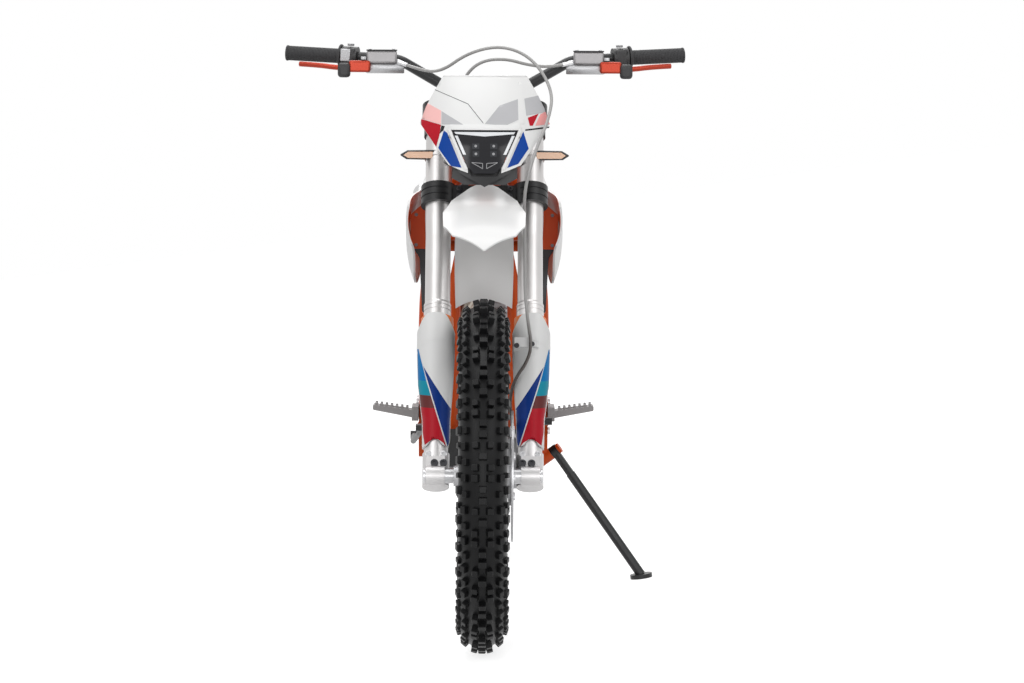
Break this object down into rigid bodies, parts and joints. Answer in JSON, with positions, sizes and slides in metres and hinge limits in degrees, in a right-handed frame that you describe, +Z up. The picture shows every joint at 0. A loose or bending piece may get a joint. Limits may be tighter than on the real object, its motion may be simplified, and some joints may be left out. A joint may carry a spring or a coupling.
{
  "type": "motocross bike",
  "caption": "Road-legal motocross bike with upside-down fork, spoked knobbly wheels, headlight mask and side stand, leaning on the stand.",
  "frame": {"origin": "middle of the bounding box, on the ground", "axes": "-Y towards the front wheel, +X towards the bike's left side, where it leans on its stand, +Z up"},
  "size_m": [0.8264, 2.1694, 1.2472],
  "materials": {
    "tyre": "matte",
    "rim_black": "satin black",
    "cast_silver": "cast, satin",
    "disc_steel": "ground",
    "sprocket_steel": "satin",
    "black_metal": "satin black",
    "fork_silver": "bright anodised",
    "wiper_orange": "satin",
    "leg_silver": "satin",
    "white_plastic": "semi gloss",
    "grip_rubber": "ribbed",
    "black_plastic": "matte",
    "lever_red": "anodised",
    "lamp_dark": "clear over a dark reflector",
    "hose_black": "matte",
    "frame_orange": "powder coat",
    "arm_silver": "satin",
    "shock_white": "spring and damper",
    "engine_grey": "cast, dark",
    "exhaust_steel": "heat toned",
    "silencer_aluminium": "brushed",
    "tank_dark": "moulded",
    "seat_cover": "grained cover over foam",
    "peg_steel": "blasted"
  },
  "bodies": {
    "chassis": {"frame": "frame_orange", "subframe": "black_metal", "swingarm": "arm_silver", "pivot_bolt": "disc_steel", "rear_axle": "disc_steel", "rear_shock": "shock_white", "crankcase": "engine_grey", "cylinder": "cast_silver", "engine_covers": "engine_grey", "throttle_body": "cast_silver", "exhaust_pipe": "exhaust_steel", "silencer": "silencer_aluminium", "front_sprocket": "sprocket_steel", "drive_chain": "sprocket_steel", "fuel_tank": "tank_dark", "seat": "seat_cover", "rear_fender": "white_plastic", "radiators": "black_metal", "radiator_guards": "frame_orange", "radiator_shrouds": "white_plastic", "side_panels": "white_plastic", "footpegs": "peg_steel", "foot_levers": "black_metal", "skid_plate": "black_plastic", "rear_caliper": "cast_silver", "rear_lights": "black_plastic"},
    "steered": {"triple_clamps": "black_metal", "fork_tubes": "fork_silver", "fork_wipers": "wiper_orange", "fork_legs": "leg_silver", "fork_guards": "white_plastic", "front_axle": "disc_steel", "handlebar": "black_metal", "grips": "grip_rubber", "switchgear": "black_plastic", "master_cylinders": "cast_silver", "hand_levers": "lever_red", "headlight_mask": "white_plastic", "headlight": "lamp_dark", "mask_bracket": "black_metal", "front_fender": "white_plastic", "front_indicators": "black_plastic", "front_caliper": "cast_silver", "front_brake_hose": "hose_black", "clutch_hose": "hose_black"},
    "front_wheel": {"front_tyre": "tyre", "front_rim": "rim_black", "front_hub": "cast_silver", "front_disc": "disc_steel"},
    "rear_wheel": {"rear_tyre": "tyre", "rear_rim": "rim_black", "rear_hub": "cast_silver", "rear_disc": "disc_steel", "rear_sprocket": "sprocket_steel"},
    "side_stand": {"side_stand": "black_metal"}
  },
  "joints": [
    {"name": "steering", "type": "hinge", "parent": "chassis", "child": "steered", "pos_m": [-0.01921, -0.32712, 1.0291], "axis": [0.1246, 0.4461, 0.8863], "range_deg": [-42, 42]},
    {"name": "front_wheel_spin", "type": "hinge", "parent": "steered", "child": "front_wheel", "pos_m": [-0.11498, -0.7346, 0.34761], "axis": [0.9903, 0, -0.1392], "continuous": true},
    {"name": "rear_wheel_spin", "type": "hinge", "parent": "chassis", "child": "rear_wheel", "pos_m": [-0.11638, 0.7454, 0.33794], "axis": [0.9903, 0, -0.1392], "continuous": true},
    {"name": "side_stand_fold", "type": "hinge", "parent": "chassis", "child": "side_stand", "pos_m": [0.03504, 0.0894, 0.29434], "axis": [0.8695, -0.1274, 0.4772], "range_deg": [0, 104]}
  ]
}
